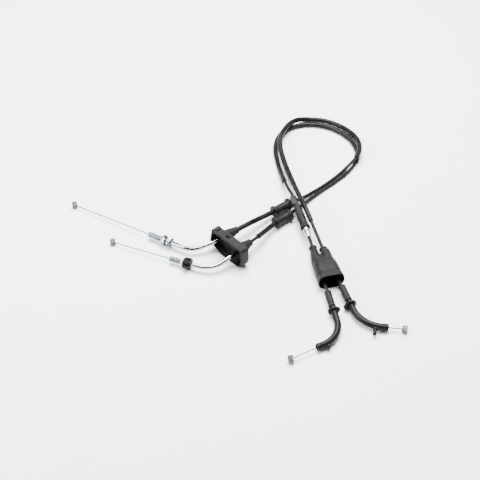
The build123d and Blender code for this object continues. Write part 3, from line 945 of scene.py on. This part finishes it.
# %% Draw the cup and hollow it
HOOD_TURN = 44.0                    # the way the cables leave the hood, seen from above
HOOD_MIDDLE = Vector((-7.4, -60, 0)) * MM
HOOD_LENGTH = 66.0
HOOD_HEIGHT = 36.5
HOOD_DEPTH = 14.0
hood_out = Vector((cos(radians(HOOD_TURN)), sin(radians(HOOD_TURN)), 0))
hood_side = Vector((hood_out.y, -hood_out.x, 0))
hood_bench = Matrix((hood_side, Vector((0, 0, 1)), -hood_out)).transposed().to_4x4()
hood_bench = Matrix.Translation(HOOD_MIDDLE) @ hood_bench


hood_corners = [
    (-29, 36.5), (-33.2, 12), (-31, 8.6), (-24.5, 7.2), (-18.5, 4.4), (-13, 1.4), (-7, 0.3),
    (14, 0.3), (24, 0.8), (29, 3), (32, 7), (33, 12), (33, 32.5), (31.8, 35.3), (29, 36.5),
]


def hood_outline(inset):
    """Corners of the D, drawn in all round by an inset in mm."""
    half, middle = HOOD_LENGTH / 2, HOOD_HEIGHT / 2
    return [(x * (1 - inset / half), middle + (y - middle) * (1 - inset / middle))
            for x, y in hood_corners]


def slab(outline, low, high):
    """A flat shape extruded between two heights."""
    piece = draw_line([(x, y, low) for x, y in outline])
    bpy.ops.mesh.select_all(action="SELECT")
    bpy.ops.mesh.edge_face_add()
    bpy.ops.mesh.extrude_region_move(TRANSFORM_OT_translate={"value": (0, 0, (high - low) * MM)})
    close_up()
    return piece


def hood_slab(inset, low, high):
    piece = slab(hood_outline(inset), low, high)
    lay(piece, hood_bench)
    return piece


cup = hood_slab(0, -HOOD_DEPTH, 0)
soften(cup, 1.6, 3)
lug = block((6.0, 4.4, 9.5), (-23.2, HOOD_HEIGHT, -HOOD_DEPTH + 6), edge=0.8)
lay(lug, hood_bench)
cut(cup, lug, "UNION")
print("cup:", len(cup.data.polygons), "faces")

# %% Add the two bells, then cut the hollow, the slot and the bores
BELL_BACK = 21.0                    # a bell starts this far back from its tube's end
BELL_ON = 12.0                      # and ends this far along the casing
bell_shape = [(-21, 9.2), (-14, 9.2), (-8, 9.0), (-3, 8.2), (3, 7.0), (7, 5.9), (9, 5.3),
              (10, 5.6), (11, 5.6), (12, 5.1)]


def follow(shape, distance):
    """The radius that a (distance, radius) shape has at a distance."""
    for (before, low), (after, high) in zip(shape, shape[1:]):
        if distance <= after:
            return low + (high - low) * (distance - before) / (after - before)
    return shape[-1][1]


for cable in ("return", "pull"):
    tube_end = length_of(tube_lines[cable])
    back = stretch_of(tube_lines[cable], tube_end - BELL_BACK, tube_end, 1.0)
    ahead = stretch_of(lines[cable], 0, BELL_ON, 1.0)[1:]
    marks = [index - BELL_BACK for index in range(len(back) + len(ahead))]
    radii = [follow(bell_shape, mark) + 0.22 * sin(mark * 1.5) * (mark < 7) for mark in marks]
    bell = tube_along(back + ahead, radii, edge=0, sides=8)
    cut(cup, bell, "UNION")
for inset, low, high in ((2.4, -11.2, -5.6), (3.5, -6, -4.4), (2.4, -5, -1.6), (3.1, -2, 2)):
    cut(cup, hood_slab(inset, low, high))
slot = block((7, 8, 5), (-2, HOOD_HEIGHT, -HOOD_DEPTH / 2 - 0.5), edge=0.5)
lay(slot, hood_bench)
cut(cup, slot)
slit = block((1.4, 8, 12), (-27.2, HOOD_HEIGHT, -HOOD_DEPTH / 2 + 4), edge=0.2)
lay(slit, hood_bench)
cut(cup, slit)
for cable in ("return", "pull"):
    tube_end = length_of(tube_lines[cable])
    inside = stretch_of(tube_lines[cable], tube_end - 34, tube_end, 2.0)
    inside += stretch_of(lines[cable], 0, 9.0, 2.0)[1:]
    cut(cup, tube_along(inside, 4.2, edge=0))
    cut(cup, tube_along(stretch_of(lines[cable], 0, 18.0), CASING_R + 0.05, edge=0))
modify(cup, "REMESH", mode="VOXEL", voxel_size=0.5 * MM)
modify(cup, "SMOOTH", factor=0.5, iterations=4)
smooth(cup, 70)
fit(cup, "hood", "cable_set", hood_rubber, "throttle_body_hood")

# %% [markdown]
# ## Sleeves
#
# Inside each bell a steel crimp joins the tube to the casing. Beyond it the casings wear loose
# sleeves, which are soft tubing slipped over them: glossy, a little uneven, and open at both
# ends, where the wall shows. The long ones protect the loop where it rubs on the frame.

# %% Slip the sleeves on
SLEEVE_R = 3.8
SLEEVE_WALL = 1.2
spool_ends = {
    "return": ((63, 27, 9), (84, 43.5, 8.5)),
    "pull": ((64.5, 3.5, 9), (84.5, 19.5, 8.7)),
}
spool_start = {cable: nearest(lines[cable], ends[0]) for cable, ends in spool_ends.items()}
loop_span = {
    "return": (nearest(lines["return"], (191, 143, 11.6)), nearest(lines["return"], (99, 49.5, 20))),
    "pull": (nearest(lines["pull"], (191, 143, 3.4)), nearest(lines["pull"], (79.5, 88, 12))),
}
grip_sleeve_end = nearest(lines["return"], (114.2, -0.5, 16.8))


def sleeve(name, node, cable, start, end, radius):
    """Soft tubing from start to end along a cable, swelling and narrowing by a hair."""
    points = stretch_of(lines[cable], start, end, 1.5)
    radii = [radius + 0.07 * sin(index * 0.9) * sin(index * 0.23) for index in range(len(points))]
    radii[0] += 0.15
    radii[-1] += 0.15
    piece = tube_along(points, radii, wall=SLEEVE_WALL, edge=0.3, sides=9)
    fit(piece, name, "cable_set", sleeve_pvc, node)
    return piece


sleeves = {
    "engine_return": sleeve("tubing_engine_return", "engine_sleeve_return", "return", 12.5,
                            spool_start["return"] - 3, SLEEVE_R),
    "engine_pull": sleeve("tubing_engine_pull", "engine_sleeve_pull", "pull", 28,
                          spool_start["pull"] - 3, SLEEVE_R),
    "loop_return": sleeve("tubing_loop_return", "loop_sleeve_return", "return",
                          *loop_span["return"], SLEEVE_R),
    "loop_pull": sleeve("tubing_loop_pull", "loop_sleeve_pull", "pull", *loop_span["pull"],
                        SLEEVE_R),
    "grip_return": sleeve("tubing_grip_return", "grip_sleeve_return", "return",
                          loop_span["return"][1] + 0.4, grip_sleeve_end, SLEEVE_R - 0.1),
}

# %% [markdown]
# ## Spools
#
# A flanged rubber spool sits on each casing where a clip holds it to the frame. It is turned,
# with a narrow bead beside each flange, and drilled for the casing.

# %% Turn the two spools
SPOOL_R = 6.4
FLANGE_R = 8.6
FLANGE = 4.0
spools = {}
for cable, ends in spool_ends.items():
    left, right = (Vector(end) * MM for end in ends)
    length = (right - left).length / MM + FLANGE
    half = [(FLANGE_R - 0.5, 0), (FLANGE_R, 0.5), (FLANGE_R, FLANGE - 0.6), (FLANGE_R - 0.8, FLANGE),
            (SPOOL_R + 0.7, FLANGE + 0.4), (SPOOL_R + 0.5, FLANGE + 1.6), (SPOOL_R, FLANGE + 2.0)]
    mirrored = [(radius, length - height) for radius, height in reversed(half)]
    bore = CASING_R + 0.05
    spool = turned([(bore + 1.6, 0), *half, *mirrored, (bore + 1.6, length), (bore, length - 1.2),
                    (bore, 1.2)], edge=0.35)
    start = left - (right - left).normalized() * FLANGE / 2 * MM
    lay(spool, bench(start, right - left))
    fit(spool, f"clip_spool_{cable}", "cable_set", spool_rubber, f"guide_spool_{cable}")
    spools[cable] = spool

# %% [markdown]
# ## The in-line adjuster
#
# The pull cable's length is set half way along it. A threaded stem sticks out of a plain cap, a
# knurled barrel turns on it, a small nut locks the two, and a rubber boot hides the lot. All of
# them are turned about one line, and the cap has a rounded block on one side as well. The knurl
# is cut by pushing every second facet inwards.

# %% Cap, stem, lock nut and barrel
def pushed_in(piece, low, high, count, width, depth):
    """Push every second stripe of a turned piece's side inwards, between two heights."""
    def in_stripe(face):
        middle = face.center / MM
        around = Vector((1, 0)).angle_signed(middle.xy, 0) / (2 * pi) + 1
        side_on = abs(face.normal.z) < 0.3 and face.normal.xy.dot(middle.xy) > 0
        return side_on and low < middle.z < high and int(around * count) % 2 == 0

    pick(piece, "FACE", in_stripe)
    bpy.ops.mesh.inset(thickness=width * MM, depth=-depth * MM)
    bpy.ops.mesh.select_mode(type="VERT")
    bpy.ops.object.mode_set(mode="OBJECT")


def adjuster_piece(name, node, body, finish, outline, edge=0.2):
    piece = turned(outline, edge)
    lay(piece, adjuster_bench)
    return fit(piece, name, body, finish, node)


STEM_R = 3.0
CAP_BORE = CASING_R + 0.1
cap = turned([
    (CAP_BORE, 0), (3.7, 0), (4.25, 0.7), (4.25, 4.6), (4.0, 5.0), (4.0, 5.8), (4.25, 6.2),
    (4.25, 17.3), (3.9, 18), (STEM_R + 0.05, 18), (STEM_R + 0.05, 12.6), (CAP_BORE, 12.6)])
cap = joined(cap, block((7.6, 8.0, 16.4), (-2.2, 0.6, 9.0), edge=1.2))
smooth(cap, 40)
lay(cap, adjuster_bench)
fit(cap, "plain_cap", "cable_set", cap_plastic, "adjuster_cap")

stem = threaded_rod(39.3, STEM_R - 0.02, 0.8, 0.4)
cut(stem, turned([(0, -1), (1.2, -1), (1.2, 41), (0, 41)], edge=0, facets=24))
smooth(stem, 30)
lay(stem, slid(adjuster_bench, 12.7))
fit(stem, "threaded_stem", "cable_set", zinc_thread, "adjuster_stem")

small_nut = lock_nut(7.2, 3.0, STEM_R + 0.05)
lay(small_nut, slid(adjuster_bench, 37))
fit(small_nut, "small_hex_nut", "adjuster_lock_nut", zinc_nut, "adjuster_lock_nut")

barrel = turned([(STEM_R + 0.05, 41), (3.9, 41), (4.3, 41.4), (4.3, 44.6), (3.95, 45), (3.95, 46),
                 (4.3, 46.4), (4.3, 60.6), (3.95, 61), (4.3, 61.4), (4.3, 63.8), (1.2, 63.8),
                 (1.2, 60), (STEM_R + 0.05, 60)], edge=0.1)
pushed_in(barrel, 47, 60, 48, 0.06, 0.12)
smooth(barrel, 30)
lay(barrel, adjuster_bench)
fit(barrel, "knurled_barrel", "adjuster_barrel", aluminium_barrel, "adjuster_barrel")

# %% The silver ferrule and the rubber boot over the adjuster
adjuster_piece("silver_ferrule", "adjuster_end_ferrule", "adjuster_barrel", aluminium_barrel, [
    (1.2, 64), (4.3, 64), (4.7, 64.5), (4.7, 67.6), (4.35, 68), (4.35, 69), (4.45, 69.3),
    (3.3, 78.4), (3.2, 80), (CAP_BORE, 80), (CAP_BORE, 75.2), (1.2, 75.2)], edge=0.12)
adjuster_piece("adjuster_bellows", "adjuster_boot", "adjuster_boot", boot_rubber, [
    (4.4, 19), (5.0, 19), (5.35, 19.8), (5.35, 21.2), (5.1, 21.8), (5.25, 24), (5.7, 36),
    (5.95, 46), (6.0, 55.5), (5.8, 56.2), (5.8, 57.2), (6.1, 58), (6.8, 60.4), (7.0, 61.2),
    (7.0, 62.8), (6.7, 63.6), (5.5, 63.6), (5.1, 60), (5.0, 40), (4.5, 22)], edge=0.3)

# %% [markdown]
# ## The boot over both grip ends
#
# One rubber boot slides over both cable entries of the throttle housing. Its body is an oval
# that widens towards an open mouth with a thick lip, and two necks with rolled rings hug the
# casings. The oval starts as a circle whose halves are pulled apart, and grows by extruding its
# rim and scaling it, over the lip and back down inside. Then the necks are joined on, a flat pad
# and its groove are shaped on the right one, and the whole is relaxed into one rubber skin.

# %% Grow the oval body from ring to ring
BOOT_START = Vector((122, -53.5, 13)) * MM
BOOT_END = Vector((138, -115.5, 12.9)) * MM
boot_along = BOOT_END - BOOT_START
boot_bench = bench(BOOT_START, boot_along)
boot_rings = [
    (15, 25, 12), (20, 29, 15), (27, 31.8, 18.4), (34, 34.4, 21.4), (42, 35.6, 22.8),
    (52.4, 36.2, 23.6), (53.0, 34.8, 22.2), (54.2, 34.8, 22.2), (54.8, 36.4, 23.8),
    (60.5, 37.4, 25.0), (62.6, 38.0, 25.6), (64.0, 37.4, 25.0), (64.4, 35.6, 23.2),
    (63.6, 34.0, 21.6), (59.0, 33.4, 21.0), (58.4, 31.4, 19.0), (48.0, 30.4, 18.0),
    (36.0, 27.0, 14.5),
]


def oval_loft(rings):
    """A closed skin through (height, width, depth) ovals: over the lip and back inside."""
    height, width, depth = rings[0]
    bpy.ops.object.select_all(action="DESELECT")
    bpy.ops.mesh.primitive_circle_add(vertices=64, radius=depth / 2 * MM, fill_type="NGON",
                                      location=(0, 0, height * MM))
    piece = bpy.context.object
    bpy.ops.object.transform_apply(location=True)
    for side in (-1, 1):
        pick(piece, "VERT", lambda vertex: vertex.co.x * side > MERGE)
        bpy.ops.transform.translate(value=(side * (width - depth) / 2 * MM, 0, 0))
        bpy.ops.object.mode_set(mode="OBJECT")
    bpy.ops.object.mode_set(mode="EDIT")
    bpy.ops.mesh.select_all(action="SELECT")
    for after_height, after_width, after_depth in rings[1:]:
        rise = (after_height - height) * MM
        bpy.ops.mesh.extrude_region_move(TRANSFORM_OT_translate={"value": (0, 0, rise)})
        grow = (after_width / width, after_depth / depth, 1)
        bpy.ops.transform.resize(value=grow, center_override=(0, 0, after_height * MM))
        height, width, depth = after_height, after_width, after_depth
    close_up()
    return piece


boot = oval_loft(boot_rings)
lay(boot, boot_bench)
print("boot body:", len(boot.data.polygons), "faces")

# %% Join the necks, then shape the pad, the grooves and the bores
neck_shape = [(-1.8, 5.4), (-1.2, 6.0), (0, 6.2), (1.2, 6.0), (1.9, 5.3), (3.0, 5.1), (6, 5.6),
              (14, 6.9), (22, 8.2), (27, 8.7), (36, 8.7)]
neck_at = {
    "return": nearest(lines["return"], (129.5, -54.5, 13)),
    "pull_grip": nearest(lines["pull_grip"], (114.4, -52.5, 13)),
}
for name, at in neck_at.items():
    points = stretch_of(lines[name], at - 1.8, at + 36, 0.7)
    radii = [follow(neck_shape, index * 0.7 - 1.8) for index in range(len(points))]
    cut(boot, tube_along(points, radii, edge=0, sides=9), "UNION")
pad = block((10.5, 5.0, 18), (7.6, 4.2, 18.3), edge=1.2)
lay(pad, boot_bench @ Matrix.Rotation(radians(-7), 4, "X"))
cut(boot, pad, "UNION")
shelf = block((19.5, 8, 1.7), (9.4, 12.4, 28.6), edge=0.3)
lay(shelf, boot_bench)
cut(boot, shelf)
valley = block((1.6, 10, 17), (0.6, 9.0, 14.5), edge=0.4)
lay(valley, boot_bench @ Matrix.Rotation(radians(-7), 4, "X"))
cut(boot, valley)
for name, at in neck_at.items():
    cut(boot, tube_along(stretch_of(lines[name], at - 6, at + 50), CASING_R + 0.05, edge=0))
modify(boot, "REMESH", mode="VOXEL", voxel_size=0.5 * MM)
modify(boot, "SMOOTH", factor=0.5, iterations=4)
smooth(boot, 70)
fit(boot, "twin_boot", "cable_set", boot_rubber, "grip_boot")

# %% [markdown]
# ## Ferrules
#
# A black ferrule is crimped on the end of each casing and holds the neck of the elbow, which
# can turn in it. It is turned, and the crimping tool's marks run along its middle.

# %% Turn and crimp the two ferrules
FERRULE_R = 5.0
ferrules = {}
for cable in ("return", "pull"):
    ferrule = turned([
        (CAP_BORE, 0.6), (3.4, 0), (4.7, 0), (FERRULE_R, 0.4), (FERRULE_R, 2.8), (4.6, 3.2),
        (4.6, 4.2), (FERRULE_R, 4.6), (FERRULE_R, 6.0), (4.9, 6.4), (4.85, 20.0), (4.45, 20.6),
        (4.45, 22.6), (FERRULE_R, 23.2), (FERRULE_R, 25.7), (4.7, 26), (3.2, 26), (3.2, 14.5),
        (1.2, 14.5), (1.2, 13.8), (CAP_BORE, 13.8)], edge=0.15)
    pushed_in(ferrule, 7.0, 19.4, 16, 0.25, 0.30)
    smooth(ferrule, 35)
    lay(ferrule, ferrule_bench[cable])
    fit(ferrule, f"crimped_ferrule_{cable}", "cable_set", ferrule_plastic, f"grip_ferrule_{cable}")
    ferrules[cable] = ferrule

# %% [markdown]
# ## Elbows
#
# A moulded elbow turns each wire onto the drum of the twist grip. Its tube is one long arc with
# a flared tip. It has a flange against the ferrule, with a lug that keys it, and a peg that
# finds a hole in the housing. The parts are united and relaxed like the rubber pieces, but with
# finer voxels, because hard plastic keeps smaller fillets.

# %% Mould the two elbows
FLANGE_AT = 31.5
ELBOW_R = 4.75
elbow_facts = {
    "return": {"corner": (172.7, -188.9, 7.6), "radius": 42, "tip": 36.5, "peg_at": 0.76,
               "peg_turn": -106, "peg_length": 15.5, "lug_turn": 205, "lug_r": 3.4},
    "pull": {"corner": (146.6, -208.5, 7.2), "radius": 37, "tip": 38.5, "peg_at": 0.80,
             "peg_turn": -62, "peg_length": 8.6, "lug_turn": 20, "lug_r": 2.0},
}


def round_bar(radius, low, high, place, edge=0.0):
    """A plain round bar on a bench, between two heights."""
    bar = turned([(0, low), (radius, low), (radius, high), (0, high)], edge)
    lay(bar, place)
    return bar


for cable, facts in elbow_facts.items():
    place = ferrule_bench[cable]
    corner = Vector(facts["corner"])
    towards = (grip_bench[cable].translation / MM - corner).normalized()
    tip = corner + towards * facts["tip"]
    start = slid(place, FLANGE_AT + 1).translation / MM
    line = bent([start, corner, tip], [facts["radius"]], step=1.0)
    reach = length_of(line)
    points = stretch_of(line, 0, reach, 1.0)
    left = [reach - index * reach / (len(points) - 1) for index in range(len(points))]
    radii = [5.1 if 0.4 < gap < 5.6 else 4.85 if gap < 6.6 else ELBOW_R for gap in left]
    elbow = tube_along(points, radii, edge=0, sides=12)
    flange = turned([(0, FLANGE_AT), (7.9, FLANGE_AT), (8.3, FLANGE_AT + 0.4),
                     (8.3, FLANGE_AT + 2.0), (7.6, FLANGE_AT + 3.6), (0, FLANGE_AT + 3.6)], edge=0)
    lay(flange, place)
    cut(elbow, flange, "UNION")
    cut(elbow, round_bar(3.1, 15, 27, place), "UNION")
    cut(elbow, round_bar(4.0, 26.4, FLANGE_AT + 2, place), "UNION")
    lug_bench = turned_about(place, facts["lug_turn"]) @ Matrix.Translation((7.2 * MM, 0, 0))
    lug_depth = FLANGE_AT + 3.2
    cut(elbow, round_bar(facts["lug_r"], FLANGE_AT - 0.6, lug_depth + 1.2, lug_bench), "UNION")
    peg_start = stretch_of(line, reach * facts["peg_at"], reach)[0]
    swing = radians(facts["peg_turn"])
    peg_bench = bench(peg_start, (cos(swing), sin(swing), -0.06))
    end = facts["peg_length"]
    peg = turned([(0, 0), (2.9, 0), (2.9, 6.2), (2.3, 6.6), (2.3, end - 0.7), (1.7, end),
                  (0, end)], edge=0, facets=32)
    lay(peg, peg_bench)
    cut(elbow, peg, "UNION")
    tip_bench = bench(tip * MM, -towards)
    cut(elbow, round_bar(3.3, -1, 3.0, tip_bench))
    cut(elbow, round_bar(1.5, -1, 12, tip_bench))
    modify(elbow, "REMESH", mode="VOXEL", voxel_size=0.36 * MM)
    modify(elbow, "SMOOTH", factor=0.5, iterations=3)
    smooth(elbow, 60)
    fit(elbow, f"moulded_elbow_{cable}", f"grip_elbow_{cable}", elbow_plastic, f"grip_elbow_{cable}")

riders = {
    "return": ("fitting", [sleeves["engine_return"], sleeves["loop_return"],
                           sleeves["grip_return"], spools["return"], ferrules["return"]]),
    "pull": ("object", [sleeves["engine_pull"], sleeves["loop_pull"], spools["pull"]]),
    "pull_grip": ("fitting", [ferrules["pull"]]),
}
for name, (far_end, pieces) in riders.items():
    reach = length_of(lines[name]) * MM
    print(f"casing {name}: {reach:.4f} m, {len(pieces)} pieces on it")
